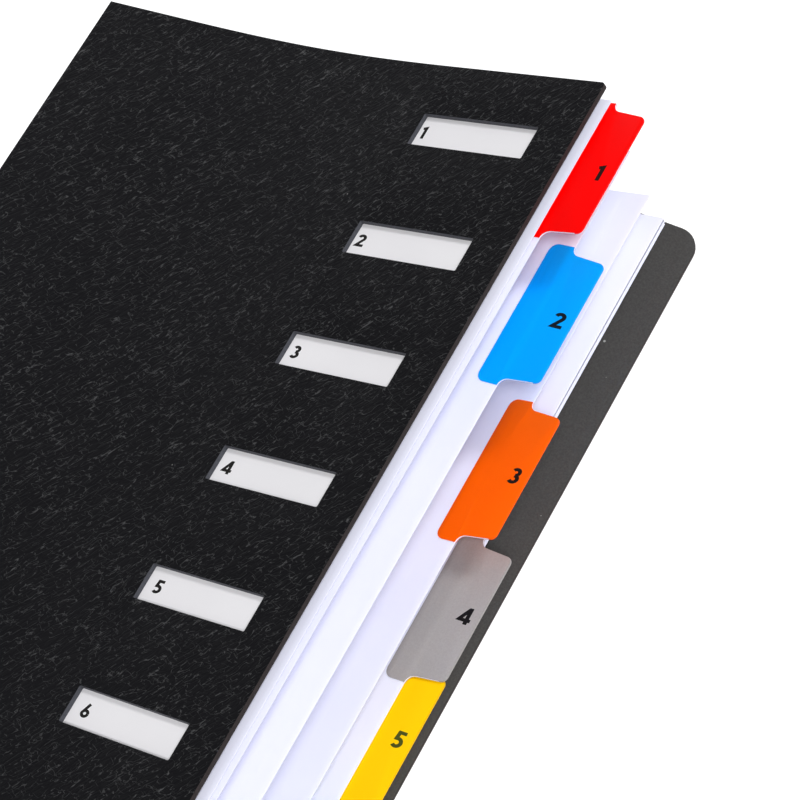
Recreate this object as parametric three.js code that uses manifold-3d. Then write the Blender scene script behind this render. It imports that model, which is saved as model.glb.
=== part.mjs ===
// A desk sorter for A4 papers: two board covers, a pleated spine and seven
// card dividers. Each divider has a coloured, numbered tab on its fore-edge, and
// the front cover has a window over an index sheet for each of them. It lies on
// its back cover with the leaves fanned open. Millimetres, +Z up, +X from the
// spine to the fore-edge, +Y towards the first tab.

import * as THREE from 'three';
import { mergeVertices } from 'three/addons/utils/BufferGeometryUtils.js';
import Module from 'manifold-3d';

const wasm = await Module();
wasm.setup();

// Covers
const backWidth = 237;
const frontWidthStep = 16; // how much narrower the front cover is than the back one
const boardThickness = 1.8;
const backCornerRadius = 8;
const frontCornerRadius = 1.2;
const coverMargin = 3.5; // how far the covers pass the leaves, top and bottom
const frontSpineSlope = 10.3; // degrees
const frontForeHeight = 79.4; // outer face of the front cover at its fore-edge

// Spine
const spineThickness = 17.8; // outer face to outer face of the covers
const spineBoardThickness = 1.5;
const hingeGap = 0.3;
const pleatDepth = 9.5;
const pleatCloth = 0.3;
const glueGap = 0.3;

// Leaves: the first is the plain front sheet, and the others are the dividers
const dividerCount = 7;
// how much narrower each leaf is than the front cover, its tab left out
const leafWidthSteps = [7.7, 5.8, 4.8, 4.4, 2.2, 2.2, 2.2, 2.2];
const cardThickness = 0.35;
// height of each leaf's fore-edge as a share of the front cover's
const leafForeShares = [0.957, 0.944, 0.737, 0.43, 0.275, 0.26, 0.245, 0.23];
const leafSpineSlopes = [10, 9.6, 7, 3, 1.6, 1.6, 1.6, 1.6]; // degrees
const leafForeSlopes = [20, 20, 16, 22, 18, 18, 18, 18]; // degrees, at the fore-edge
const lowerHeadDrop = 5.5; // dividers 2 to 7 are this much shorter at the head
const bendStart = 0.14; // share of the width where a leaf or cover starts to bend
const bendEnd = 0.75;
const tipBendStart = 0.83; // share of a leaf's width where its end turns to the tab
const tipBendEnd = 0.95;
const tipBendSteps = 6;
const bendSteps = 20;

// Tabs
const tabPitch = 44;
const tabRootLength = 53;
const tabReach = 13.8;
const tabRootRadius = 3;
const tabTipRadius = 2.2;
const tabFlare = 1.2; // how much the root is wider than the tip, at each end
const filmDepth = 8.6; // how far the coloured film runs in from the fore-edge
const filmCornerRadius = 3;
const filmThickness = 0.12;
const filmGap = 0.1;
const filmInset = 0.06; // how far the film stops short of the card

// Windows and the index sheet behind them
const windowWidth = 48.7;
const windowHeight = 12.5;
const windowCornerRadius = 0.4;
const windowTopMargin = 19.8;
const windowForeMargin = 15.5;
const indexBorder = 8; // index sheet past the windows on each side
const indexThickness = 0.3;
const indexGap = 0.1;

// Sizes and places that follow from the ones above
const frontWidth = backWidth - frontWidthStep;
const leafWidths = leafWidthSteps.map((step) => frontWidth - step);
const leafForeHeights = leafForeShares.map((share) => frontForeHeight * share);
const leafHeight = tabPitch * (dividerCount - 1) + tabRootLength;
const coverHeight = leafHeight + 2 * coverMargin;
const backTop = boardThickness;
const frontStart = { x: 0, z: spineThickness };
const pleatStartX = spineBoardThickness + glueGap;
const leafStartX = pleatStartX + pleatDepth + glueGap;
const spineBottom = backTop + hingeGap;
const frontInnerDrop = boardThickness / Math.cos(THREE.MathUtils.degToRad(frontSpineSlope));
const spineTop = spineThickness - frontInnerDrop - hingeGap;
const leafCount = dividerCount + 1;
const pleatPitch = (spineTop - spineBottom) / leafCount;
const cutterReach = 120; // half the depth of a cutting prism, past any bow
const cutterMargin = 5; // how far a cutting outline passes what it cuts

// Materials
function finish(color, roughness) {
  return new THREE.MeshStandardMaterial({ color, roughness, metalness: 0 });
}
const grainedBoard = finish(0x1d1d1f, 0.55);
const mattBoard = finish(0x403f3e, 0.8);
const pleatedCloth = finish(0x1a1a1b, 0.9);
const whiteCard = finish(0xe8eafc, 0.7);
const indexCard = finish(0xe4e3e8, 0.7);
const tabColours = [0xff0000, 0x00a0ff, 0xff6000, 0xa39d9d, 0xffcc00, 0x00c850, 0x8a3fc8];

// Solids
function solidOf(geometry) {
  const bare = geometry.clone();
  bare.deleteAttribute('normal');
  bare.deleteAttribute('uv');
  const merged = mergeVertices(bare, 1e-4);
  return new wasm.Manifold(new wasm.Mesh({
    numProp: 3,
    vertProperties: new Float32Array(merged.attributes.position.array),
    triVerts: new Uint32Array(merged.index.array),
  }));
}

function geometryOf(solid) {
  const mesh = solid.getMesh();
  const geometry = new THREE.BufferGeometry();
  geometry.setAttribute('position', new THREE.BufferAttribute(mesh.vertProperties, 3));
  geometry.setIndex(new THREE.BufferAttribute(mesh.triVerts, 1));
  geometry.computeVertexNormals();
  return geometry;
}

function named(name, geometry, material) {
  const mesh = new THREE.Mesh(geometry, material);
  mesh.name = name;
  return mesh;
}

// A closed shape from corners in order, each with the radius that rounds it
function roundedShape(corners, steps = 5) {
  const points = [];
  corners.forEach((corner, index) => {
    const here = new THREE.Vector2(corner.u, corner.v);
    if (!corner.r) {
      points.push(here);
      return;
    }
    const before = corners[(index + corners.length - 1) % corners.length];
    const after = corners[(index + 1) % corners.length];
    const toBefore = new THREE.Vector2(before.u, before.v).sub(here).normalize();
    const toAfter = new THREE.Vector2(after.u, after.v).sub(here).normalize();
    const half = Math.acos(toBefore.dot(toAfter)) / 2;
    const middle = toBefore.clone().add(toAfter).normalize();
    const centre = here.clone().addScaledVector(middle, corner.r / Math.sin(half));
    const first = here.clone().addScaledVector(toBefore, corner.r / Math.tan(half)).sub(centre);
    const turn = (Math.PI - 2 * half) * Math.sign(first.cross(middle.clone().negate()));
    for (let step = 0; step <= steps; step += 1) {
      const arm = first.clone().rotateAround(new THREE.Vector2(), turn * step / steps);
      points.push(centre.clone().add(arm));
    }
  });
  return new THREE.Shape(points);
}

// The side view of a bowed board or leaf. Its slope grows smoothly from the spine,
// so that its fore-edge stands at the height asked for, and may turn once more to
// a slope of its own before the fore-edge
function bowedLine(start, width, spineSlope, foreHeight, foreSlope = null) {
  const stations = [0];
  for (let step = 0; step <= bendSteps; step += 1) {
    stations.push(width * (bendStart + (bendEnd - bendStart) * step / bendSteps));
  }
  if (foreSlope !== null) {
    for (let step = 0; step <= tipBendSteps; step += 1) {
      stations.push(width * (tipBendStart + (tipBendEnd - tipBendStart) * step / tipBendSteps));
    }
  }
  const { degToRad, lerp, smoothstep } = THREE.MathUtils;
  const first = degToRad(spineSlope);
  const slopeAt = (s, main) => {
    const bent = lerp(first, main, smoothstep(s / width, bendStart, bendEnd));
    if (foreSlope === null) return bent;
    return lerp(bent, degToRad(foreSlope), smoothstep(s / width, tipBendStart, tipBendEnd));
  };
  const trace = (main) => {
    const points = [{ s: 0, x: start.x, z: start.z, slope: first }];
    for (let index = 1; index < stations.length; index += 1) {
      const from = points[index - 1];
      const length = stations[index] - from.s;
      const slope = slopeAt((stations[index] + from.s) / 2, main);
      const x = from.x + length * Math.cos(slope);
      const z = from.z + length * Math.sin(slope);
      points.push({ s: stations[index], x, z, slope: slopeAt(stations[index], main) });
    }
    return points;
  };
  const reach = (points, s) => {
    const end = points[points.length - 1];
    const length = s - end.s;
    const x = end.x + length * Math.cos(end.slope);
    return { s, x, z: end.z + length * Math.sin(end.slope), slope: end.slope };
  };
  let low = -Math.PI / 3;
  let high = Math.PI / 3;
  for (let round = 0; round < 50; round += 1) {
    const middle = (low + high) / 2;
    if (reach(trace(middle), width).z < foreHeight) low = middle;
    else high = middle;
  }
  const points = trace((low + high) / 2);
  return { width, points, past: (s) => reach(points, s) };
}

// The point of a bowed line at a distance from its start
function pointAt(line, s) {
  const last = line.points[line.points.length - 1];
  if (s >= last.s) return line.past(s);
  const index = line.points.findIndex((point) => point.s > s);
  const from = line.points[index - 1];
  const to = line.points[index];
  const share = (s - from.s) / (to.s - from.s);
  return {
    s,
    x: THREE.MathUtils.lerp(from.x, to.x, share),
    z: THREE.MathUtils.lerp(from.z, to.z, share),
    slope: THREE.MathUtils.lerp(from.slope, to.slope, share),
  };
}

// A sheet that follows a bowed line, between two offsets from it
function bowedSlab(line, from, to, lower, upper, height) {
  const inner = line.points.filter((point) => point.s > from && point.s < to);
  const stations = [pointAt(line, from), ...inner, pointAt(line, to)];
  const offset = (point, distance) => new THREE.Vector2(
    point.x - distance * Math.sin(point.slope), point.z + distance * Math.cos(point.slope));
  const outline = [
    ...stations.map((point) => offset(point, lower)),
    ...stations.map((point) => offset(point, upper)).reverse(),
  ];
  return alongSpine(new THREE.Shape(outline), height);
}

// A side-view shape drawn in X and Z, extruded along the spine about Y = 0
function alongSpine(shape, height) {
  const geometry = new THREE.ExtrudeGeometry(shape, { depth: height, bevelEnabled: false });
  geometry.rotateX(Math.PI / 2);
  geometry.translate(0, height / 2, 0);
  return solidOf(geometry);
}

// A prism over an outline in the plane of a line's fore-edge: u runs out from
// the fore-edge, v along Y
function foreEdgePrism(line, shape) {
  const edge = line.past(line.width);
  const geometry = new THREE.ExtrudeGeometry(shape, { depth: 2 * cutterReach, bevelEnabled: false });
  geometry.translate(0, 0, -cutterReach);
  geometry.rotateY(-edge.slope);
  geometry.translate(edge.x, 0, edge.z);
  return solidOf(geometry);
}

// Covers
function backCover() {
  const top = coverHeight / 2;
  const shape = roundedShape([
    { u: 0, v: -top },
    { u: backWidth, v: -top, r: backCornerRadius },
    { u: backWidth, v: top, r: backCornerRadius },
    { u: 0, v: top },
  ], 8);
  const geometry = new THREE.ExtrudeGeometry(shape, { depth: boardThickness, bevelEnabled: false });
  return named('back_cover', geometryOf(solidOf(geometry)), mattBoard);
}

const frontLine = bowedLine(frontStart, frontWidth, frontSpineSlope, frontForeHeight);

function windowCentre(index) {
  return coverHeight / 2 - windowTopMargin - windowHeight / 2 - index * tabPitch;
}

function frontCover() {
  const top = coverHeight / 2;
  const outline = roundedShape([
    { u: -frontWidth - cutterMargin, v: -top },
    { u: 0, v: -top, r: frontCornerRadius },
    { u: 0, v: top, r: frontCornerRadius },
    { u: -frontWidth - cutterMargin, v: top },
  ]);
  const blank = bowedSlab(
    frontLine, 0, frontWidth + cutterMargin, -boardThickness, 0, coverHeight + 2 * cutterMargin);
  let board = blank.intersect(foreEdgePrism(frontLine, outline));
  for (let index = 0; index < dividerCount; index += 1) {
    const v = windowCentre(index);
    const right = -windowForeMargin;
    const opening = roundedShape([
      { u: right - windowWidth, v: v - windowHeight / 2, r: windowCornerRadius },
      { u: right, v: v - windowHeight / 2, r: windowCornerRadius },
      { u: right, v: v + windowHeight / 2, r: windowCornerRadius },
      { u: right - windowWidth, v: v + windowHeight / 2, r: windowCornerRadius },
    ], 2);
    board = board.subtract(foreEdgePrism(frontLine, opening));
  }
  return named('front_cover', geometryOf(board), grainedBoard);
}

function indexSheet() {
  const upper = -boardThickness - indexGap;
  const from = frontWidth - windowForeMargin - windowWidth - indexBorder;
  const to = frontWidth - windowForeMargin + indexBorder;
  const height = (dividerCount - 1) * tabPitch + windowHeight + 2 * indexBorder;
  const sheet = bowedSlab(frontLine, from, to, upper - indexThickness, upper, height);
  const middle = (windowCentre(0) + windowCentre(dividerCount - 1)) / 2;
  const geometry = geometryOf(sheet);
  geometry.translate(0, middle, 0);
  return named('index_sheet', geometry, indexCard);
}

// Spine
function spineBoard() {
  const shape = roundedShape([
    { u: 0, v: spineBottom },
    { u: spineBoardThickness, v: spineBottom },
    { u: spineBoardThickness, v: spineTop },
    { u: 0, v: spineTop },
  ]);
  return named('spine_board', geometryOf(alongSpine(shape, coverHeight)), grainedBoard);
}

// One folded strip of cloth: flat-ended pleats, one for each leaf, open to the
// spine board between them
function spineGusset() {
  const left = pleatStartX;
  const right = pleatStartX + pleatDepth;
  const fold = pleatPitch / 2;
  const path = [];
  for (let index = 0; index < leafCount; index += 1) {
    const low = spineBottom + index * pleatPitch + fold / 2;
    path.push([left, low], [right, low], [right, low + fold], [left, low + fold]);
  }
  const half = pleatCloth / 2;
  const inward = (z, side) => z + side * half;
  const outer = path.map(([x, z], index) => {
    const isRight = x === right;
    const isLower = index % 4 === 0 || index % 4 === 1;
    return new THREE.Vector2(isRight ? x : x + pleatCloth, inward(z, isLower ? -1 : 1));
  });
  const inner = path.map(([x, z], index) => {
    const isRight = x === right;
    const isLower = index % 4 === 0 || index % 4 === 1;
    return new THREE.Vector2(isRight ? x - pleatCloth : x, inward(z, isLower ? 1 : -1));
  });
  const shape = new THREE.Shape([...outer, ...inner.reverse()]);
  return named('spine_gusset', geometryOf(alongSpine(shape, leafHeight)), pleatedCloth);
}

// Leaves
function leafLine(leaf) {
  const start = { x: leafStartX, z: spineTop - (leaf + 0.5) * pleatPitch };
  return bowedLine(
    start, leafWidths[leaf], leafSpineSlopes[leaf], leafForeHeights[leaf], leafForeSlopes[leaf]);
}

function tabCentre(index) {
  return leafHeight / 2 - tabRootLength / 2 - index * tabPitch;
}

// Corners of a tab's outer end, set in by a rim, from its top root to its lower root
function tabCorners(centre, rim) {
  const slant = Math.atan2(tabFlare, tabReach);
  const notch = tabRootRadius * Math.tan(Math.PI / 4 - slant / 2);
  const inset = rim / Math.cos(slant) - rim * Math.tan(slant);
  const root = tabRootLength / 2 - notch - inset;
  const tip = root - tabFlare;
  return [
    { u: -rim, v: centre + root, r: tabRootRadius + rim },
    { u: tabReach - rim, v: centre + tip, r: tabTipRadius - rim },
    { u: tabReach - rim, v: centre - tip, r: tabTipRadius - rim },
    { u: -rim, v: centre - root, r: tabRootRadius + rim },
  ];
}

function frontSheet() {
  const half = cardThickness / 2;
  const line = leafLine(0);
  const sheet = bowedSlab(line, 0, line.width, -half, half, leafHeight);
  return named('front_sheet', geometryOf(sheet), whiteCard);
}

function divider(index) {
  const line = leafLine(index + 1);
  const half = cardThickness / 2;
  const blank = bowedSlab(line, 0, line.width + tabReach, -half, half, leafHeight);
  const foot = -leafHeight / 2 - cutterMargin;
  const head = index === 0 ? leafHeight / 2 + cutterMargin : leafHeight / 2 - lowerHeadDrop;
  const outline = roundedShape([
    { u: -line.width - cutterMargin, v: head },
    { u: 0, v: head },
    ...tabCorners(tabCentre(index), 0),
    { u: 0, v: foot },
    { u: -line.width - cutterMargin, v: foot },
  ]);
  const card = blank.intersect(foreEdgePrism(line, outline));
  return named(`divider_${index + 1}`, geometryOf(card), whiteCard);
}

function tabFilm(index, side) {
  const line = leafLine(index + 1);
  const near = cardThickness / 2 + filmGap;
  const far = near + filmThickness;
  const lower = side === 'front' ? near : -far;
  const upper = side === 'front' ? far : -near;
  const blank = bowedSlab(
    line, line.width - filmDepth - filmInset, line.width + tabReach, lower, upper, leafHeight);
  const centre = tabCentre(index);
  const end = tabRootLength / 2 - filmInset;
  const outline = roundedShape([
    { u: -filmDepth, v: centre + end, r: filmCornerRadius },
    { u: -filmInset, v: centre + end },
    ...tabCorners(centre, filmInset),
    { u: -filmInset, v: centre - end },
    { u: -filmDepth, v: centre - end, r: filmCornerRadius },
  ]);
  const film = blank.intersect(foreEdgePrism(line, outline));
  return named(`tab_${side}_${index + 1}`, geometryOf(film), finish(tabColours[index], 0.35));
}

const sorter = new THREE.Group();
sorter.add(backCover(), spineBoard(), spineGusset(), frontSheet());
for (let index = 0; index < dividerCount; index += 1) {
  sorter.add(divider(index), tabFilm(index, 'front'), tabFilm(index, 'back'));
}
sorter.add(indexSheet(), frontCover());

// The origin is under the middle of the whole, tabs included
const tabTips = leafWidths.slice(1).map(
  (width, index) => leafLine(index + 1).past(width + tabReach).x);
sorter.position.x = -Math.max(backWidth, ...tabTips) / 2;

export default sorter;
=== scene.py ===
# %% [markdown]
# # A desk sorter in Blender
#
# This lesson dresses a packed model of a desk sorter: two covers of grained board, a
# pleated spine, and seven card dividers with coloured, numbered tabs. The packed model
# gives every shape and place. What is left for Blender is the finish: softened edges,
# smooth bends, printed numbers and materials. Each cell makes one thing and prints it.

# %% Load the frame
import math

import bmesh
import bpy
from mathutils import Matrix, Vector


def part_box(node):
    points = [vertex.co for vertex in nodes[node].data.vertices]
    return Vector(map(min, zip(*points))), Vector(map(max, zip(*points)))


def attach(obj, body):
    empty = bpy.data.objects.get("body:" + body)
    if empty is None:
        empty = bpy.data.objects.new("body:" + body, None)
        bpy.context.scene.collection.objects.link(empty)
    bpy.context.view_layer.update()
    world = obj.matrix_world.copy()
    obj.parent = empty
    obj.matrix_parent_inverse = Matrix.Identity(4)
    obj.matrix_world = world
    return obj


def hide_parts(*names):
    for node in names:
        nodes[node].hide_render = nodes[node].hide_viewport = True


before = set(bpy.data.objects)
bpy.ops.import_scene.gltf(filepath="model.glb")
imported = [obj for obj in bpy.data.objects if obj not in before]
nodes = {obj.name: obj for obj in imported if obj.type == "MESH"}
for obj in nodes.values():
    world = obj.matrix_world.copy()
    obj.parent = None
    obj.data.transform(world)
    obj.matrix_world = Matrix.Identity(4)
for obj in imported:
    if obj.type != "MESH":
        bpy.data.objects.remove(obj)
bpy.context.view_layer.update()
MM = 0.001
DIVIDERS = range(1, 8)
print("pieces in the frame:", len(nodes))

# %% [markdown]
# ## The camera
#
# The picture was taken from above and from the fore-edge side, with the camera turned a
# little about its own axis. A camera that turns round a target needs only four numbers:
# azimuth, elevation, roll and distance. The long lens keeps the sorter's edges nearly
# parallel, as they are in the picture.

# %% Place the camera
TARGET = Vector((0.0571, 0.0607, 0.0175))
AZIMUTH = math.radians(49.24)
ELEVATION = math.radians(59.87)
ROLL = math.radians(-23.09)
DISTANCE = 0.9
LENS = 124.2
SENSOR_WIDTH = 36
NEAREST = 0.01


def aimed(azimuth, elevation, roll):
    """Rotation of a camera that looks at its target from these angles."""
    turn = Matrix.Rotation(azimuth, 3, "Z")
    tilt = Matrix.Rotation(math.pi / 2 - elevation, 3, "X")
    return turn @ tilt @ Matrix.Rotation(roll, 3, "Z")


camera = bpy.data.objects.new("camera", bpy.data.cameras.new("camera"))
bpy.context.collection.objects.link(camera)
facing = aimed(AZIMUTH, ELEVATION, ROLL)
stand = TARGET + facing @ Vector((0, 0, DISTANCE))
camera.matrix_world = Matrix.Translation(stand) @ facing.to_4x4()
camera.data.lens = LENS
camera.data.sensor_width = SENSOR_WIDTH
camera.data.clip_start = NEAREST
bpy.context.scene.camera = camera
print("camera at", tuple(round(v, 4) for v in camera.location))

# %% [markdown]
# ## The lamps
#
# Card and board are easiest to judge in plain light, so two soft lamps are enough, only
# to give the light a direction. The key lamp stands above the head of the sorter. It
# throws the short shadows inside the windows and under the tabs. The fill lamp stands
# beside the camera and opens the shadow under the cover's edge. An area lamp would light
# its own side more. A sun lamp's light is the same all over the sorter.

# %% Place the lamps
KEY_FROM = Vector((0.36, 0.46, 0.81))
KEY_STRENGTH = 1.35
KEY_SOFTNESS = 14  # degrees of sky that the lamp covers
FILL_FROM = Vector((0.38, -0.33, 0.87))
FILL_STRENGTH = 2.0
FILL_SOFTNESS = 16


def soft_lamp(name, come_from, strength, softness):
    """Adds a distant lamp that shines from this direction."""
    lamp = bpy.data.objects.new(name, bpy.data.lights.new(name, "SUN"))
    bpy.context.collection.objects.link(lamp)
    lamp.data.energy = strength
    lamp.data.angle = math.radians(softness)
    lamp.rotation_euler = come_from.to_track_quat("Z", "Y").to_euler()


soft_lamp("key", KEY_FROM, KEY_STRENGTH, KEY_SOFTNESS)
soft_lamp("fill", FILL_FROM, FILL_STRENGTH, FILL_SOFTNESS)
print("key", KEY_STRENGTH, "and fill", FILL_STRENGTH)

# %% [markdown]
# ## The white room
#
# The world is an even white that fills the shadows a little. The camera, reflections and
# clear materials see it at full white, by the kind of ray that asks. So the background
# is white without any more light on the object, whose pale card would lose its tone.

# %% Light the room
WORLD_LIGHT = 0.27
FULL_WHITE = 1.0


def larger(tree, first, second):
    """The larger of two sockets' values."""
    node = tree.nodes.new("ShaderNodeMath")
    node.operation = "MAXIMUM"
    tree.links.new(first, node.inputs[0])
    tree.links.new(second, node.inputs[1])
    return node.outputs[0]


world = bpy.data.worlds.new("white room")
bpy.context.scene.world = world
world.use_nodes = True
tree = world.node_tree
tree.nodes.clear()
room = tree.nodes.new("ShaderNodeBackground")
room.inputs["Color"].default_value = (1, 1, 1, 1)
rays = tree.nodes.new("ShaderNodeLightPath").outputs
seen = larger(tree, rays["Is Camera Ray"], rays["Is Transmission Ray"])
shown = larger(tree, seen, rays["Is Glossy Ray"])
strength = tree.nodes.new("ShaderNodeMapRange")
strength.inputs["To Min"].default_value = WORLD_LIGHT
strength.inputs["To Max"].default_value = FULL_WHITE
tree.links.new(shown, strength.inputs["Value"])
tree.links.new(strength.outputs["Result"], room.inputs["Strength"])
output = tree.nodes.new("ShaderNodeOutputWorld")
tree.links.new(room.outputs[0], output.inputs["Surface"])
bpy.context.scene.view_settings.view_transform = "Standard"
print("world light", WORLD_LIGHT, "on the object and", FULL_WHITE, "where it is seen")

# %% [markdown]
# ## The floor
#
# The sorter lies on a plain white surface. A single large plane is enough. It keeps the
# object's shadow, and a little light of its own, seen only by the camera, brings the
# unshaded part to full white.

# %% Lay the floor
FLOOR_SIZE = 6.0
FLOOR_GAP = 0.4 * MM
FLOOR_COLOUR = (0.93, 0.93, 0.935, 1)
FLOOR_ROUGHNESS = 0.9
FLOOR_LIFT = 0.16


def floor_finish():
    """Matt white, with a little light of its own for the camera only."""
    material = bpy.data.materials.new("white floor")
    material.use_nodes = True
    tree = material.node_tree
    shader = tree.nodes["Principled BSDF"]
    shader.inputs["Base Color"].default_value = FLOOR_COLOUR
    shader.inputs["Roughness"].default_value = FLOOR_ROUGHNESS
    shader.inputs["Specular IOR Level"].default_value = 0.0
    shader.inputs["Emission Color"].default_value = (1, 1, 1, 1)
    rays = tree.nodes.new("ShaderNodeLightPath").outputs
    lift = tree.nodes.new("ShaderNodeMath")
    lift.operation = "MULTIPLY"
    lift.inputs[1].default_value = FLOOR_LIFT
    tree.links.new(rays["Is Camera Ray"], lift.inputs[0])
    tree.links.new(lift.outputs[0], shader.inputs["Emission Strength"])
    return material


def flat_plane(name, size):
    """A square plane about the origin."""
    mesh = bpy.data.meshes.new(name)
    half = size / 2
    corners = [(-half, -half, 0), (half, -half, 0), (half, half, 0), (-half, half, 0)]
    mesh.from_pydata(corners, [], [(0, 1, 2, 3)])
    plane = bpy.data.objects.new(name, mesh)
    bpy.context.collection.objects.link(plane)
    return plane


floor = flat_plane("floor", FLOOR_SIZE)
floor.location.z = -FLOOR_GAP
floor.data.materials.append(floor_finish())
print("floor", FLOOR_SIZE, "m wide")

# %% [markdown]
# ## A line to bend along
#
# Every leaf and the front cover is a flat sheet that was bent in one direction only. Its
# bend is seen from the side, as a line of points in X and Z. The packed model has that
# line as short straight steps. Reading it from the model's foot edge, and rounding it
# off with a smooth curve, gives a bend without steps that stays in the same place. A
# subdivision surface would round it too, but it would also draw the cut edges in.


# %% Describe a side line
class SideLine:
    """The middle line of a bent sheet: distance s along it, and the place in X and Z."""

    def __init__(self, points):
        self.points = points
        self.stations = [0.0]
        for before, after in zip(points, points[1:]):
            self.stations.append(self.stations[-1] + (after - before).length)
        steps = [(b - a).normalized() for a, b in zip(points, points[1:])]
        lengths = [(b - a).length for a, b in zip(points, points[1:])]
        inner = [(a * m + b * k).normalized()
                 for a, b, k, m in zip(steps, steps[1:], lengths, lengths[1:])]
        self.steps = steps
        self.tangents = [steps[0], *inner, steps[-1]]

    def flat(self, x, z):
        """Distance along the line, and height over it, of a point beside it."""
        place = Vector((x, z))
        best = None
        last = len(self.steps) - 1
        for index, step in enumerate(self.steps):
            length = self.stations[index + 1] - self.stations[index]
            arm = place - self.points[index]
            along = arm.dot(step)
            low = along if index == 0 else max(along, 0.0)
            held = low if index == last else min(low, length)
            miss = (arm - step * held).length
            if best is None or miss < best[0]:
                height = step.x * arm.y - step.y * arm.x
                best = (miss, self.stations[index] + held, height)
        return best[1], best[2]

    def bent(self, s, height):
        """The place in X and Z of a point at a distance along the line and over it."""
        last = len(self.points) - 1
        if s <= 0 or s >= self.stations[last]:
            index = 0 if s <= 0 else last
            tangent = self.tangents[index]
            spot = self.points[index] + tangent * (s - self.stations[index])
        else:
            # a cubic through the two points around s, with their tangents
            index = next(i for i in range(last) if s <= self.stations[i + 1])
            length = self.stations[index + 1] - self.stations[index]
            t = (s - self.stations[index]) / length
            start, end = self.points[index], self.points[index + 1]
            pull, push = self.tangents[index] * length, self.tangents[index + 1] * length
            spot = (start * (2 * t**3 - 3 * t**2 + 1) + pull * (t**3 - 2 * t**2 + t)
                    + end * (3 * t**2 - 2 * t**3) + push * (t**3 - t**2))
            tangent = self.tangents[index].lerp(self.tangents[index + 1], t).normalized()
        normal = Vector((-tangent.y, tangent.x))
        return spot + normal * height


print("a side line knows:", [name for name in vars(SideLine) if not name.startswith("_")])

# %% [markdown]
# The middle line isn't in the packed solid, which has corners only on its two faces. On
# the foot edge each corner of one face has a partner on the other face, exactly one
# thickness away. Half way between such partners lies a point of the middle line.

# %% Read the side lines
SAME = 0.001 * MM
NEAR = 10 * SAME


def apart(points, least):
    """The points in order, without those closer than this to one already kept."""
    kept = []
    for point in sorted(points, key=lambda p: p.x):
        if all((point - other).length > least for other in kept):
            kept.append(point)
    return kept


def side_line(node):
    """The side line of a packed sheet, read along its foot edge."""
    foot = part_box(node)[0].y
    edge = apart([Vector((v.co.x, v.co.z)) for v in nodes[node].data.vertices
                  if abs(v.co.y - foot) < NEAR], NEAR)
    thickness = (edge[1] - edge[0]).length
    middles = [(one + other) / 2 for one in edge for other in edge
               if abs((one - other).length - thickness) < NEAR]
    return SideLine(apart(middles, NEAR))


cover_line = side_line("front_cover")
leaf_lines = {number: side_line(f"divider_{number}") for number in DIVIDERS}
sheet_line = side_line("front_sheet")
print("front cover is", round(cover_line.stations[-1] / MM, 1), "mm wide along its bow")

# %% [markdown]
# ## From the frame's solid to a flat blank
#
# A real sheet is cut flat, its edges soften, and then it is bent. The same order works
# here. The packed solid is pressed flat with its side line, and its faces, which the
# packing split into triangles, are joined again. A bevel would stop at every one of
# those splits otherwise.

# %% Flatten a solid
FLAT_ANGLE = math.radians(1.5)


def node_mesh(node):
    """The node's solid as a bmesh, with its doubled corners joined."""
    mesh = bmesh.new()
    mesh.from_mesh(nodes[node].data)
    bmesh.ops.remove_doubles(mesh, verts=mesh.verts, dist=SAME)
    return mesh


def join_level_faces(mesh):
    """Joins neighbouring faces that lie in one plane."""
    bmesh.ops.dissolve_limit(
        mesh, angle_limit=FLAT_ANGLE, verts=mesh.verts, edges=mesh.edges,
        use_dissolve_boundaries=False)


def pressed_flat(node, line):
    """The node's solid laid flat, with X as the distance along its side line."""
    mesh = node_mesh(node)
    for vertex in mesh.verts:
        s, height = line.flat(vertex.co.x, vertex.co.z)
        vertex.co.x = s
        vertex.co.z = height
    join_level_faces(mesh)
    bmesh.ops.recalc_face_normals(mesh, faces=mesh.faces)
    return mesh


print("faces within", round(math.degrees(FLAT_ANGLE), 1), "degrees are joined")

# %% [markdown]
# ## Soft edges and fine cuts
#
# No cut edge is perfectly sharp, and a small bevel gives each the thin line of light
# that a real one has. Card gets one of a few hundredths of a millimetre and board about
# a quarter. A bevel modifier would act last, after the bend, so the mesh itself is
# bevelled while it is flat. Then cuts across the sheet every two millimetres let it bend
# smoothly.

# %% Soften and cut a sheet
SHARP_ANGLE = math.radians(60)
EDGE_SEGMENTS = 2
CUT_STEP = 2.0 * MM
CUT_TOLERANCE = 1e-7


def soften(mesh, radius):
    """Rounds every sharp edge."""
    sharp = [edge for edge in mesh.edges
             if edge.is_manifold and edge.calc_face_angle(0) > SHARP_ANGLE]
    bmesh.ops.bevel(mesh, geom=sharp, offset=radius, segments=EDGE_SEGMENTS, profile=0.5,
                    affect="EDGES", clamp_overlap=True)


def cut_across(mesh, at):
    """Parts the faces of a flat sheet at one distance, without opening it."""
    bmesh.ops.bisect_plane(
        mesh, geom=mesh.verts[:] + mesh.edges[:] + mesh.faces[:],
        plane_co=(at, 0, 0), plane_no=(1, 0, 0), dist=CUT_TOLERANCE)


def cross_cuts(mesh, line):
    """Cuts the flat sheet across, so that it can follow its bend smoothly."""
    low = min(vertex.co.x for vertex in mesh.verts)
    high = min(max(vertex.co.x for vertex in mesh.verts), line.stations[-1])
    count = int((high - low) / CUT_STEP)
    for index in range(1, count):
        cut_across(mesh, low + (high - low) * index / count)


print("cross cuts every", CUT_STEP / MM, "mm")

# %% [markdown]
# ## Bending, and taking the node's place
#
# The finished sheet goes back along its line into the packed solid's place. There it
# replaces the node and rides on the node's body, so that it moves with the joints. Its
# faces are sorted while it is still flat, because up, down and rim are plain then.

# %% Bend a sheet and finish it
SHADE_ANGLE = math.radians(50)
LEVEL = 0.9  # how much of Z the normal of an upper or lower face has
UPPER, LOWER, RIM, PICKED = range(4)


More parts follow.
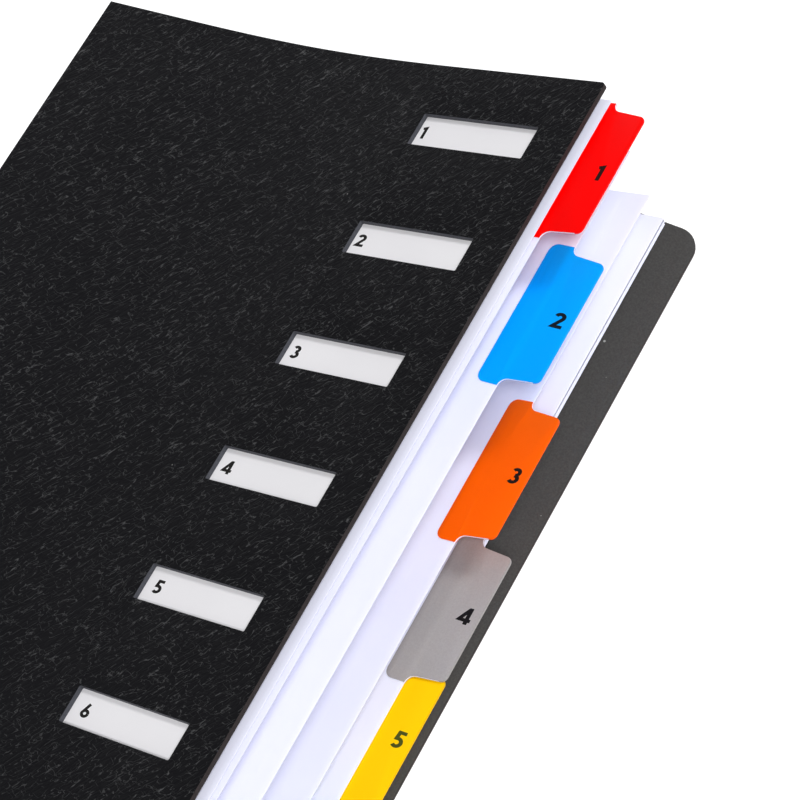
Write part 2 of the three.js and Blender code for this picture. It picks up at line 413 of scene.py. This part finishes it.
def finished(node, mesh, materials, body):
    """A smooth-shaded object from a bmesh, riding on its body in place of the node."""
    data = bpy.data.meshes.new(f"{node}_finished")
    mesh.to_mesh(data)
    mesh.free()
    for polygon in data.polygons:
        polygon.use_smooth = True
    data.set_sharp_from_angle(angle=SHADE_ANGLE)
    piece = bpy.data.objects.new(f"{node}_finished", data)
    bpy.context.collection.objects.link(piece)
    for material in materials:
        data.materials.append(material)
    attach(piece, body)
    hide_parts(node)
    return piece


def bent_sheet(node, line, radius, materials, body, picked=None, parted=None):
    """A finished sheet. The materials are for its upper face, its lower face, its rim
    and the faces that the rule called picked is true for. Where that rule needs it,
    the faces are parted first, at one distance along the sheet."""
    mesh = pressed_flat(node, line)
    soften(mesh, radius)
    if parted:
        cut_across(mesh, parted)
    for face in mesh.faces:
        if picked and picked(face):
            face.material_index = PICKED
        elif abs(face.normal.z) > LEVEL:
            face.material_index = UPPER if face.normal.z > 0 else LOWER
        else:
            face.material_index = RIM
    cross_cuts(mesh, line)
    for vertex in mesh.verts:
        place = line.bent(vertex.co.x, vertex.co.z)
        vertex.co.x = place.x
        vertex.co.z = place.y
    return finished(node, mesh, materials, body)


print("edges over", round(math.degrees(SHADE_ANGLE)), "degrees stay sharp in shading")

# %% [markdown]
# ## Shared effects
#
# Three effects make up the finishes, and each is a node group with sockets to set it by.
# The grain is an embossed pattern of fine wrinkles. The tooth is the fibre of paper and
# board. The specks are stray light fibres and dust. They read object coordinates, so a
# pattern stays on its piece when the piece moves. The short helpers here add one node
# each, which keeps the groups readable.


# %% Start a node group
def new_group(name, inputs, outputs):
    """An empty node group with float inputs {name: value} and float outputs."""
    group = bpy.data.node_groups.new(name, "ShaderNodeTree")
    number = "NodeSocketFloat"
    for label, value in inputs.items():
        socket = group.interface.new_socket(label, in_out="INPUT", socket_type=number)
        socket.default_value = value
    for label in outputs:
        group.interface.new_socket(label, in_out="OUTPUT", socket_type=number)
    return group, group.nodes.new("NodeGroupInput"), group.nodes.new("NodeGroupOutput")


def math_node(tree, operation, first, second=0.0, third=0.0):
    """The result of a math node. Each term is a socket or a number."""
    node = tree.nodes.new("ShaderNodeMath")
    node.operation = operation
    for index, term in enumerate((first, second, third)):
        if isinstance(term, bpy.types.NodeSocket):
            tree.links.new(term, node.inputs[index])
        else:
            node.inputs[index].default_value = term
    return node.outputs[0]


def texture(tree, kind, vector, scale, **settings):
    """A texture node. Scale is a socket or a number; settings are attributes or sockets."""
    node = tree.nodes.new(kind)
    tree.links.new(vector, node.inputs["Vector"])
    if isinstance(scale, bpy.types.NodeSocket):
        tree.links.new(scale, node.inputs["Scale"])
    else:
        node.inputs["Scale"].default_value = scale
    for key, value in settings.items():
        if hasattr(node, key):
            setattr(node, key, value)
        else:
            node.inputs[key.title()].default_value = value
    return node


def remap(tree, value, low, high, start=0.0, end=1.0):
    """A smooth step of a value from one range to another."""
    node = tree.nodes.new("ShaderNodeMapRange")
    node.interpolation_type = "SMOOTHSTEP"
    tree.links.new(value, node.inputs["Value"])
    node.inputs["From Min"].default_value = low
    node.inputs["From Max"].default_value = high
    node.inputs["To Min"].default_value = start
    node.inputs["To Max"].default_value = end
    return node.outputs["Result"]


print("helpers for node groups are ready")

# %% [markdown]
# ## Wrinkles
#
# The covering is paper embossed like leather. Its wrinkles are thin and broken, and most
# run one way with some across. A Voronoi texture alone would close them into cells. A
# noise crosses its middle value along wavy lines, so the wrinkles are drawn there, and a
# second noise rubs parts of them out. Before that the coordinates are swayed, so that no
# line is straight, and stretched along the lay.


# %% Draw thin wrinkles
def laid(group, vector, angle, along, across):
    """Coordinates that draw a texture out along one direction of the sheet."""
    node = group.nodes.new("ShaderNodeMapping")
    node.vector_type = "TEXTURE"
    node.inputs["Rotation"].default_value = (0, 0, math.radians(angle))
    node.inputs["Scale"].default_value = (along, across, 1.0)
    group.links.new(vector, node.inputs["Vector"])
    return node.outputs[0]


def swayed(group, vector, reach, scale):
    """Coordinates pushed about by a soft noise, by up to this reach."""
    noise = texture(group, "ShaderNodeTexNoise", vector, scale, detail=2.0)
    shift = group.nodes.new("ShaderNodeVectorMath")
    shift.operation = "MULTIPLY_ADD"
    group.links.new(noise.outputs["Color"], shift.inputs[0])
    shift.inputs[1].default_value = (reach, reach, reach)
    group.links.new(vector, shift.inputs[2])
    return shift.outputs[0]


MIDDLE = 0.5  # the value that a noise keeps to on average
BREAKS_SCALE = 1.4  # how much finer the noise is that breaks the lines up


def creases(group, vector, scale, width, faded, full):
    """Thin lines where a noise crosses its middle, which fade where a second noise is
    below one value and are full above the other."""
    field = texture(group, "ShaderNodeTexNoise", vector, scale, detail=1.6, roughness=0.5)
    off_middle = math_node(group, "SUBTRACT", field.outputs["Fac"], MIDDLE)
    line = remap(group, math_node(group, "ABSOLUTE", off_middle), 0.0, width, 1.0, 0.0)
    finer = math_node(group, "MULTIPLY", scale, BREAKS_SCALE)
    breaks = texture(group, "ShaderNodeTexNoise", vector, finer, detail=1.0)
    patch = remap(group, breaks.outputs["Fac"], faded, full)
    return math_node(group, "MULTIPLY", line, patch)


print("wrinkles are broken up by a noise", BREAKS_SCALE, "times as fine")

# %% Build the embossed grain
WRINKLES_PER_METRE = 420.0
SWAY = {"reach": 3.0 * MM, "scale": 90.0}
MAIN_LAY = {"angle": 48, "along": 3.3, "across": 0.75}
CROSS_LAY = {"angle": -12, "along": 2.6, "across": 0.8}
MAIN_LINES = {"width": 0.017, "faded": 0.41, "full": 0.57}
CROSS_LINES = {"width": 0.015, "faded": 0.46, "full": 0.6}
CROSS_SHARE = 0.7
PORES_PER_METRE = 1400.0
PORE_SHARE = 0.8
PEBBLE_EDGE, PEBBLE_RISE = 0.2, 0.6
MOTTLE_SCALE = 34.0


def build_grain():
    """Fine wrinkles. Height is the relief, Ridge marks the crests, Mottle is uneven ink."""
    group, given, out = new_group(
        "embossed grain", {"Wrinkles per metre": WRINKLES_PER_METRE},
        ("Height", "Ridge", "Mottle"))
    coord = group.nodes.new("ShaderNodeTexCoord").outputs["Object"]
    moved = swayed(group, coord, **SWAY)
    main = laid(group, moved, **MAIN_LAY)
    cross = laid(group, moved, **CROSS_LAY)
    scale = given.outputs["Wrinkles per metre"]
    first = creases(group, main, scale, **MAIN_LINES)
    second = creases(group, cross, scale, **CROSS_LINES)
    ridge = math_node(group, "MAXIMUM", first,
                      math_node(group, "MULTIPLY", second, CROSS_SHARE))
    pores = texture(group, "ShaderNodeTexNoise", main, PORES_PER_METRE,
                    detail=4.0, roughness=0.62)
    pebbles = texture(group, "ShaderNodeTexVoronoi", main, scale,
                      feature="DISTANCE_TO_EDGE")
    rise = remap(group, pebbles.outputs["Distance"], 0.0, PEBBLE_EDGE, 0.0, PEBBLE_RISE)
    lumps = math_node(group, "MULTIPLY_ADD", pores.outputs["Fac"], PORE_SHARE, rise)
    mottle = texture(group, "ShaderNodeTexNoise", coord, MOTTLE_SCALE, detail=3.0)
    group.links.new(math_node(group, "ADD", ridge, lumps), out.inputs["Height"])
    group.links.new(ridge, out.inputs["Ridge"])
    group.links.new(mottle.outputs["Fac"], out.inputs["Mottle"])
    return group


GRAIN = build_grain()
print("grain sockets:", [item.name for item in GRAIN.interface.items_tree])

# %% [markdown]
# ## Tooth and specks
#
# Paper, card and lining differ mostly in how coarse their fibre is, so one noise with a
# scale to set serves them all. Stray fibres and dust are few and small. A Voronoi
# texture cuts the surface into cells, and its random cell colours choose which cells
# have a speck and how large it is.

# %% Build the tooth and the specks
FIBRES_PER_METRE = 900.0
CLOUD_SCALE = 26.0
SPECK_BLUR = 0.06


def build_tooth():
    """Paper fibre. Height is the relief and Tone a faint cloudiness about one half."""
    group, given, out = new_group(
        "paper tooth", {"Fibres per metre": FIBRES_PER_METRE}, ("Height", "Tone"))
    coord = group.nodes.new("ShaderNodeTexCoord").outputs["Object"]
    fibre = texture(group, "ShaderNodeTexNoise", coord, given.outputs["Fibres per metre"],
                    detail=5.0, roughness=0.6)
    cloud = texture(group, "ShaderNodeTexNoise", coord, CLOUD_SCALE, detail=3.0)
    group.links.new(fibre.outputs["Fac"], out.inputs["Height"])
    group.links.new(cloud.outputs["Fac"], out.inputs["Tone"])
    return group


def build_specks():
    """Stray light fibres. Mask is one on a speck; Share is how many cells have one."""
    group, given, out = new_group(
        "stray specks", {"Cells per metre": 420.0, "Share": 0.05, "Radius": 0.16}, ("Mask",))
    coord = group.nodes.new("ShaderNodeTexCoord").outputs["Object"]
    cells = texture(group, "ShaderNodeTexVoronoi", coord, given.outputs["Cells per metre"])
    chance = group.nodes.new("ShaderNodeSeparateColor")
    group.links.new(cells.outputs["Color"], chance.inputs[0])
    chosen = math_node(group, "LESS_THAN", chance.outputs[0], given.outputs["Share"])
    size = math_node(group, "MULTIPLY", chance.outputs[1], given.outputs["Radius"])
    inside = math_node(group, "SUBTRACT", size, cells.outputs["Distance"])
    soft = remap(group, inside, 0.0, SPECK_BLUR)
    group.links.new(math_node(group, "MULTIPLY", chosen, soft), out.inputs["Mask"])
    return group


TOOTH = build_tooth()
SPECKS = build_specks()
print("node groups:", [group.name for group in bpy.data.node_groups])

# %% [markdown]
# ## Materials
#
# Each finish is a short function. It takes a Principled shader, sets its plain numbers
# on the shader's own sockets, and lets the shared groups vary the colour and relief.


# %% Start a material
def new_material(name, color, roughness, specular):
    """A Principled material and its parts: material, tree and shader."""
    material = bpy.data.materials.new(name)
    material.use_nodes = True
    tree = material.node_tree
    shader = tree.nodes["Principled BSDF"]
    shader.inputs["Base Color"].default_value = (*color, 1)
    shader.inputs["Roughness"].default_value = roughness
    shader.inputs["Specular IOR Level"].default_value = specular
    return material, tree, shader


def placed(tree, group, **values):
    """A node of a shared group, with its sockets set by name."""
    node = tree.nodes.new("ShaderNodeGroup")
    node.node_tree = group
    for label, value in values.items():
        node.inputs[label.replace("_", " ")].default_value = value
    return node


def relief(tree, shader, height, depth):
    """Feeds a height to the shader as a bump of this depth in metres."""
    bump = tree.nodes.new("ShaderNodeBump")
    bump.inputs["Strength"].default_value = 1.0
    bump.inputs["Distance"].default_value = depth
    tree.links.new(height, bump.inputs["Height"])
    tree.links.new(bump.outputs[0], shader.inputs["Normal"])


def blend_color(tree, factor, first, second):
    """A colour between two, by a mask. Each colour is a socket or an RGB tuple."""
    mix = tree.nodes.new("ShaderNodeMix")
    mix.data_type = "RGBA"
    tree.links.new(factor, mix.inputs["Factor"])
    for socket, color in ((mix.inputs[6], first), (mix.inputs[7], second)):
        if isinstance(color, bpy.types.NodeSocket):
            tree.links.new(color, socket)
        else:
            socket.default_value = (*color, 1)
    return mix.outputs[2]


def paint(tree, shader, color):
    """Feeds a varying colour to the shader."""
    tree.links.new(color, shader.inputs["Base Color"])


print("material helpers are ready")

# %% [markdown]
# ## The boards' finishes
#
# The covers are dark board wrapped in the grained covering, lined inside with matt grey
# paper. A picture of leather would repeat over so wide a face and blur close up, so the
# grain's group draws it. The covering is near black, and what shows its grain is a
# painted highlight: the crests of the wrinkles are painted paler, in place of the glints
# that light gives them, more than any shine. The lining has light fibres in it. A cut
# through the board shows its fibre, greyer on the walls of the windows.


# %% Mix the grained covering
def grained_board():
    """Near-black covering with embossed grain, and a painted highlight on its crests."""
    ink_low, ink_high = (0.0027, 0.0028, 0.0037), (0.0051, 0.0051, 0.0062)
    # the crest colour is a painted highlight for the wrinkles' crests; the dust colour is
    # real specks
    crest_highlight, dust = (0.074, 0.075, 0.078), (0.25, 0.25, 0.25)
    material, tree, shader = new_material(
        "grained board", (0.006, 0.006, 0.007), roughness=0.5, specular=0.05)
    grain = placed(tree, GRAIN, Wrinkles_per_metre=WRINKLES_PER_METRE)
    specks = placed(tree, SPECKS, Cells_per_metre=260.0, Share=0.02, Radius=0.1)
    base = blend_color(tree, grain.outputs["Mottle"], ink_low, ink_high)
    # paints the crests paler: a painted highlight in place of the glints on them
    highlighted_base = blend_color(tree, grain.outputs["Ridge"], base, crest_highlight)
    paint(tree, shader, blend_color(tree, specks.outputs["Mask"], highlighted_base, dust))
    shine = remap(tree, grain.outputs["Height"], low=0.4, high=1.6, start=0.6, end=0.36)
    tree.links.new(shine, shader.inputs["Roughness"])
    relief(tree, shader, grain.outputs["Height"], depth=0.14 * MM)
    return material


grained = grained_board()
print("covering:", grained.name)


# %% Mix the lining and the cut edges
def lining_board():
    """Matt dark grey lining paper, with a sparse scatter of light fibres."""
    low, high = (0.03, 0.029, 0.0285), (0.082, 0.08, 0.078)
    fleck = (0.3, 0.3, 0.29)
    material, tree, shader = new_material(
        "matt lining", (0.05, 0.049, 0.048), roughness=0.85, specular=0.1)
    tooth = placed(tree, TOOTH, Fibres_per_metre=1500.0)
    specks = placed(tree, SPECKS, Cells_per_metre=300.0, Share=0.1, Radius=0.2)
    base = blend_color(tree, tooth.outputs["Height"], low, high)
    paint(tree, shader, blend_color(tree, specks.outputs["Mask"], base, fleck))
    relief(tree, shader, tooth.outputs["Height"], depth=0.06 * MM)
    return material


def cut_board(name, dark, light):
    """A cut through the board: its layers of grey fibre, from dark to light."""
    material, tree, shader = new_material(name, dark, roughness=0.6, specular=0.15)
    tooth = placed(tree, TOOTH, Fibres_per_metre=1100.0)
    paint(tree, shader, blend_color(tree, tooth.outputs["Height"], dark, light))
    relief(tree, shader, tooth.outputs["Height"], depth=0.08 * MM)
    return material


lining = lining_board()
board_edge = cut_board("cut board edge", (0.009, 0.007, 0.007), (0.044, 0.034, 0.034))
window_wall = cut_board("window wall", (0.03, 0.031, 0.036), (0.095, 0.098, 0.115))
print("lining and cuts:", lining.name, board_edge.name, window_wall.name)

# %% [markdown]
# ## Card, cloth and ink
#
# The leaves are smooth white card, a little blue, and the index sheet is a warmer one.
# Both need only a faint cloudiness and a very fine tooth. The gusset is black book
# cloth. Its threads could be modelled, but they are too fine to be seen one by one, so
# its even weave is two crossed waves. Printed ink follows the fibre below it and is
# faintly uneven.

# %% Mix the card, cloth and ink finishes
CARD_RELIEF = 0.02 * MM
THREADS = 420.0
THIN_INK, INK_HAZE = 1.4, 0.002


def card_finish(name, low, high, fibres):
    """Smooth card between two close tones."""
    material, tree, shader = new_material(name, high, roughness=0.7, specular=0.2)
    tooth = placed(tree, TOOTH, Fibres_per_metre=fibres)
    tone = remap(tree, tooth.outputs["Tone"], low=0.3, high=0.7)
    paint(tree, shader, blend_color(tree, tone, low, high))
    relief(tree, shader, tooth.outputs["Height"], CARD_RELIEF)
    return material


def gusset_cloth():
    """Black book cloth: a fine even weave of two crossed waves."""
    low, high = (0.007, 0.007, 0.008), (0.022, 0.022, 0.023)
    material, tree, shader = new_material(
        "gusset cloth", (0.012, 0.012, 0.013), roughness=0.9, specular=0.25)
    coord = tree.nodes.new("ShaderNodeTexCoord").outputs["Object"]
    tooth = placed(tree, TOOTH, Fibres_per_metre=2400.0)
    waves = [texture(tree, "ShaderNodeTexWave", coord, THREADS, bands_direction=direction)
             for direction in ("Y", "Z")]
    weave = math_node(tree, "MULTIPLY", waves[0].outputs["Fac"], waves[1].outputs["Fac"])
    paint(tree, shader, blend_color(tree, weave, low, high))
    threads = math_node(tree, "ADD", weave, tooth.outputs["Height"])
    relief(tree, shader, threads, depth=0.12 * MM)
    return material


def ink(name, color):
    """Printed ink, faintly uneven over the fibre below it."""
    material, tree, shader = new_material(name, color, roughness=0.6, specular=0.08)
    tooth = placed(tree, TOOTH, Fibres_per_metre=2600.0)
    thin = tuple(value * THIN_INK + INK_HAZE for value in color)
    paint(tree, shader, blend_color(tree, tooth.outputs["Height"], color, thin))
    return material


white_card = card_finish("white card", (0.79, 0.8, 0.945), (0.815, 0.825, 0.96), 1300.0)
index_card = card_finish("index card", (0.795, 0.785, 0.81), (0.82, 0.81, 0.835), 1100.0)
cloth = gusset_cloth()
print("card finishes:", white_card.name, index_card.name, cloth.name)

# %% [markdown]
# ## Films
#
# The tabs' colours are thin gloss film over the card. A clear coat over a coloured base
# could make that too, but the film is a sheet of its own here, and a lower roughness
# alone gives its gloss. The card's fibre shows through as a faint spread of tone, which
# is widest in the grey one, and as a relief of a hundredth of a millimetre. Each
# number's ink takes a trace of the colour that it is printed on.

# %% Mix the film finishes
EVEN, METALLIC = 0.03, 0.19  # how far a film's tone spreads about its colour
LIGHT_SHARE = 0.6  # how far it spreads up, as a share of how far it spreads down
FILM_RELIEF = 0.01 * MM
FILM_COLOURS = {
    1: ("red", (0.96, 0.0, 0.0), EVEN),
    2: ("blue", (0.0, 0.35, 0.97), EVEN),
    3: ("orange", (0.97, 0.115, 0.0), EVEN),
    4: ("grey", (0.365, 0.345, 0.345), METALLIC),
    5: ("yellow", (0.97, 0.56, 0.0), EVEN),
    6: ("green", (0.0, 0.57, 0.08), EVEN),
    7: ("violet", (0.25, 0.05, 0.57), EVEN),
}
INK_COLOURS = {
    1: (0.01, 0.002, 0.002),
    2: (0.003, 0.005, 0.009),
    3: (0.01, 0.006, 0.005),
    4: (0.006, 0.005, 0.006),
    5: (0.05, 0.06, 0.008),
    6: (0.003, 0.01, 0.004),
    7: (0.006, 0.004, 0.008),
}


def film_finish(name, color, spread):
    """Coloured film over card: the card's fibre shows faintly through its gloss."""
    material, tree, shader = new_material(
        f"{name} film", color, roughness=0.38, specular=0.08)
    tooth = placed(tree, TOOTH, Fibres_per_metre=1600.0)
    dark = tuple(value * (1 - spread) for value in color)
    light = tuple(min(value * (1 + spread * LIGHT_SHARE), 1.0) for value in color)
    paint(tree, shader, blend_color(tree, tooth.outputs["Height"], dark, light))
    sheen = remap(tree, tooth.outputs["Tone"], low=0.3, high=0.7, start=0.32, end=0.44)
    tree.links.new(sheen, shader.inputs["Roughness"])
    relief(tree, shader, tooth.outputs["Height"], FILM_RELIEF)
    return material


films = {number: film_finish(*FILM_COLOURS[number]) for number in DIVIDERS}
inks = {number: ink(f"{FILM_COLOURS[number][0]} tab ink", INK_COLOURS[number])
        for number in DIVIDERS}
index_ink = ink("index ink", (0.008, 0.007, 0.007))
print("films:", [film.name for film in films.values()])

# %% [markdown]
# ## The covers
#
# The front cover is grained outside and lined inside, and the back cover lies on its
# grained face with its lining up. Both could be drawn anew, but the frame's own solids
# have the windows and corners in their places, and need only softened edges. The back
# cover is flat, so its side line is a straight one. In the front cover the walls of the
# windows are told from the outer edge by how far in they lie.

# %% Make the covers
BOARD_EDGE = 0.22 * MM
WELL_INSIDE = 5.0 * MM
cover_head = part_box("front_cover")[1].y


def in_window(face):
    """Whether a face is the wall of a window and not the board's outer edge."""
    spot = face.calc_center_median()
    from_fore_edge = cover_line.stations[-1] - spot.x
    from_outer_edge = min(spot.x, from_fore_edge, cover_head - abs(spot.y))
    return abs(face.normal.z) <= LEVEL and from_outer_edge > WELL_INSIDE


def straight_line(node):
    """A side line for a flat node, through the middle of its thickness."""
    low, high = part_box(node)
    middle = (low.z + high.z) / 2
    return SideLine([Vector((low.x, middle)), Vector((high.x, middle))])


front = bent_sheet("front_cover", cover_line, BOARD_EDGE,
                   (grained, lining, board_edge, window_wall), "front", picked=in_window)
back = bent_sheet("back_cover", straight_line("back_cover"), BOARD_EDGE,
                  (lining, grained, board_edge), "back")
print("faces:", len(front.data.polygons), "in front,", len(back.data.polygons), "in the back")

# %% [markdown]
# ## The spine and the gusset
#
# The spine is a strip of board in the same covering. The gusset is one folded strip of
# cloth, and the frame's solid has its folds already. Neither is a bent sheet, so they
# are softened as they stand, the cloth with a smaller radius because it is so thin.

# %% Make the spine and the gusset
CLOTH_EDGE = 0.09 * MM


def softened(node, radius, material, body):
    """The node's own solid with rounded edges and one material."""
    mesh = node_mesh(node)
    join_level_faces(mesh)
    soften(mesh, radius)
    piece = finished(node, mesh, (material,), body)
    return piece


softened("spine_board", BOARD_EDGE, grained, "block")
gusset = softened("spine_gusset", CLOTH_EDGE, cloth, "block")
print("gusset faces:", len(gusset.data.polygons))

# %% [markdown]
# ## The leaves
#
# A leaf is one sheet of card with its tab cut in one piece. The tab's outer end, with
# its rounded corners, takes the film's colour, because the two films are pressed
# together there. A cap could be added for that, but giving those faces of the card the
# film's material is simpler and leaves no seam. The white card shows only as a thin line
# along the tab's sides.

# %% Make the leaves
CARD_EDGE = 0.05 * MM
TAB_REACH = 13.8 * MM
TAB_CORNER = 2.2 * MM


def past(distance):
    """A rule that picks the faces past a distance along the sheet."""
    return lambda face: face.calc_center_median().x > distance


plain_sheet = bent_sheet("front_sheet", sheet_line, CARD_EDGE, (white_card,) * 3, "block")
for number in DIVIDERS:
    line = leaf_lines[number]
    tab_end = line.stations[-1] + TAB_REACH - TAB_CORNER
    leaf = bent_sheet(
        f"divider_{number}", line, CARD_EDGE, (white_card,) * 3 + (films[number],), "block",
        picked=past(tab_end), parted=tab_end)
print("leaves:", 1 + len(DIVIDERS))

# %% [markdown]
# ## The films and the index sheet
#
# A film lies on each side of a tab and ends almost at the card's cut. Its colour could
# be given to the card's own faces, but a sheet of its own has the fine step that a real
# film ends in. It follows the same side line as its leaf, so it can't part from it in
# the bend. The index sheet is glued inside the front cover and follows that one's line.

# %% Make the films and the index sheet
FILM_EDGE = 0.02 * MM

for number in DIVIDERS:
    for side in ("front", "back"):
        film = bent_sheet(f"tab_{side}_{number}", leaf_lines[number], FILM_EDGE,
                          (films[number],) * 3, "block")
index = bent_sheet("index_sheet", cover_line, CARD_EDGE, (index_card,) * 3, "front")
print("films:", 2 * len(DIVIDERS))

# %% [markdown]
# ## Drawing the numbers
#
# Each tab and each window has a plain number in a bold, even-stroked hand. A text
# object would bring a font's own shapes, so a number is drawn as one or two strokes in a
# box one unit high. A stroke is a path of points with a constant width, so a bend is an
# arc of points and an end is cut square. The figures are then widened, as those of a
# broad typeface are.

# %% Draw the strokes
STROKE = 0.2
FIGURE_WIDTH = 1.3
LONGEST_CORNER = 0.45  # keeps a sharp bend's corner from running out to a spike


def arc(cx, cy, rx, ry, start, end, steps=14):
    """Points on an ellipse from one angle to another, in degrees."""
    angles = [math.radians(start + (end - start) * i / steps) for i in range(steps + 1)]
    return [(cx + rx * math.cos(a), cy + ry * math.sin(a)) for a in angles]


FIGURES = {
    1: [[(-0.17, 0.81), (0.04, 0.9), (0.04, 0.0)]],
    2: [arc(0.0, 0.70, 0.20, 0.195, 165, -38) + [(-0.17, 0.115), (0.31, 0.105)]],
    3: [arc(-0.01, 0.715, 0.175, 0.18, 150, -95), arc(-0.01, 0.30, 0.205, 0.195, 95, -150)],
    4: [[(0.33, 0.25), (-0.25, 0.25), (0.1, 0.93)], [(0.13, 1.0), (0.13, 0.0)]],
    5: [[(0.27, 0.895), (-0.09, 0.895), (-0.13, 0.54)]
        + arc(-0.03, 0.325, 0.215, 0.22, 100, -140)],
    6: [arc(0.02, 0.30, 0.2, 0.2, 0, 360, 24), [(-0.14, 0.42), (0.09, 0.98)]],
    7: [[(-0.27, 0.895), (0.19, 0.895), (-0.1, 0.0)]],
}


def stroke_outline(path):
    """The closed outline of a path drawn with a square-ended pen."""
    points = [Vector(point) for point in path]
    last = len(points) - 1
    left, right = [], []
    for index, point in enumerate(points):
        before = points[max(index - 1, 0)]
        after = points[min(index + 1, last)]
        arriving = (point - before).normalized() if index else (after - point).normalized()
        leaving = (after - point).normalized() if index < last else arriving
        across = Vector((-(arriving + leaving).y, (arriving + leaving).x)).normalized()
        spread = max(across.dot(Vector((-arriving.y, arriving.x))), LONGEST_CORNER)
        left.append(point + across * (STROKE / 2) / spread)
        right.append(point - across * (STROKE / 2) / spread)
    return left + right[::-1]


print("figures:", sorted(FIGURES))

# %% [markdown]
# ## Cutting the numbers
#
# Printed ink is a layer with a little thickness. Each stroke becomes a thin solid, and
# the strokes of a number are joined by a Boolean, so that no face is left inside. A
# number made as geometry also keeps its sharp outline in the mesh itself.

# %% Cut the figures as thin solids
PRINT_THICKNESS = 0.03 * MM


def stroke_solid(name, outline, height):
    """A thin flat solid of an outline, from z = 0 up."""
    mesh = bmesh.new()
    corners = [(p.x * height * FIGURE_WIDTH, (p.y - 0.5) * height, 0) for p in outline]
    face = mesh.faces.new([mesh.verts.new(corner) for corner in corners])
    raised = bmesh.ops.extrude_face_region(mesh, geom=[face])
    for vertex in [item for item in raised["geom"] if isinstance(item, bmesh.types.BMVert)]:
        vertex.co.z = PRINT_THICKNESS
    bmesh.ops.recalc_face_normals(mesh, faces=mesh.faces)
    bmesh.ops.triangulate(mesh, faces=mesh.faces)
    data = bpy.data.meshes.new(name)
    mesh.to_mesh(data)
    mesh.free()
    return data


def figure_mesh(number, height):
    """A number's strokes joined in one solid."""
    scratch = []
    for index, path in enumerate(FIGURES[number]):
        data = stroke_solid(f"stroke_{number}_{index}", stroke_outline(path), height)
        solid = bpy.data.objects.new(data.name, data)
        bpy.context.collection.objects.link(solid)
        scratch.append(solid)
    body = scratch[0]
    for other in scratch[1:]:
        joint = body.modifiers.new("join", "BOOLEAN")
        joint.operation = "UNION"
        joint.solver = "EXACT"
        joint.object = other
    graph = bpy.context.evaluated_depsgraph_get()
    data = bpy.data.meshes.new_from_object(body.evaluated_get(graph))
    for solid in scratch:
        bpy.data.objects.remove(solid)
    return data


print("print is", PRINT_THICKNESS / MM, "mm thick")

# %% [markdown]
# ## Printing on the tabs
#
# A number stands near the fore-edge of its tab, half way along it. A shrinkwrap
# modifier could press it on, but would flatten the print's thickness. So it is bent along
# the leaf's own side line, a hair into the film, and lies on the film all over.

# %% Print the numbers
TAB_FIGURE = 5.8 * MM
TAB_FIGURE_FROM_EDGE = 8.6 * MM
SUNK = 0.005 * MM


def print_on(name, number, height, line, s, y, level, material, body):
    """A number printed flat on a bent sheet, at a distance along its side line."""
    data = figure_mesh(number, height)
    for vertex in data.vertices:
        place = line.bent(s + vertex.co.x, level - SUNK + vertex.co.z)
        vertex.co = (place.x, y + vertex.co.y, place.y)
    data.materials.clear()
    data.materials.append(material)
    piece = bpy.data.objects.new(name, data)
    bpy.context.collection.objects.link(piece)
    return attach(piece, body)


def top_level(node, line):
    """The height of a sheet's upper face over a side line."""
    return max(line.flat(v.co.x, v.co.z)[1] for v in nodes[node].data.vertices)


for number in DIVIDERS:
    line = leaf_lines[number]
    film_low, film_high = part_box(f"tab_front_{number}")
    printed = print_on(
        f"tab_number_{number}", number, TAB_FIGURE, line,
        line.stations[-1] + TAB_FIGURE_FROM_EDGE, (film_low.y + film_high.y) / 2,
        top_level(f"tab_front_{number}", line), inks[number], "block")
print("tab numbers:", len(DIVIDERS))

# %% [markdown]
# ## Printing the index
#
# The index sheet has a smaller number at the inner end of each window. The windows have
# the tabs' pitch. The sheet was glued in slightly askew, so each row of print stands a
# little nearer the fore-edge than the one above it.

# %% Print the index
INDEX_FIGURE = 4.8 * MM
INDEX_FIGURE_S = 159.2 * MM
INDEX_SKEW = 0.75 * MM
WINDOW_PITCH = 44.0 * MM
MIDDLE_WINDOW = 4

index_low, index_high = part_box("index_sheet")
index_middle = (index_low.y + index_high.y) / 2
index_level = top_level("index_sheet", cover_line)
for number in DIVIDERS:
    row = index_middle + (MIDDLE_WINDOW - number) * WINDOW_PITCH
    printed = print_on(
        f"index_number_{number}", number, INDEX_FIGURE, cover_line,
        INDEX_FIGURE_S + (number - 1) * INDEX_SKEW, row, index_level, index_ink, "front")
print("index numbers:", len(DIVIDERS))

# %% [markdown]
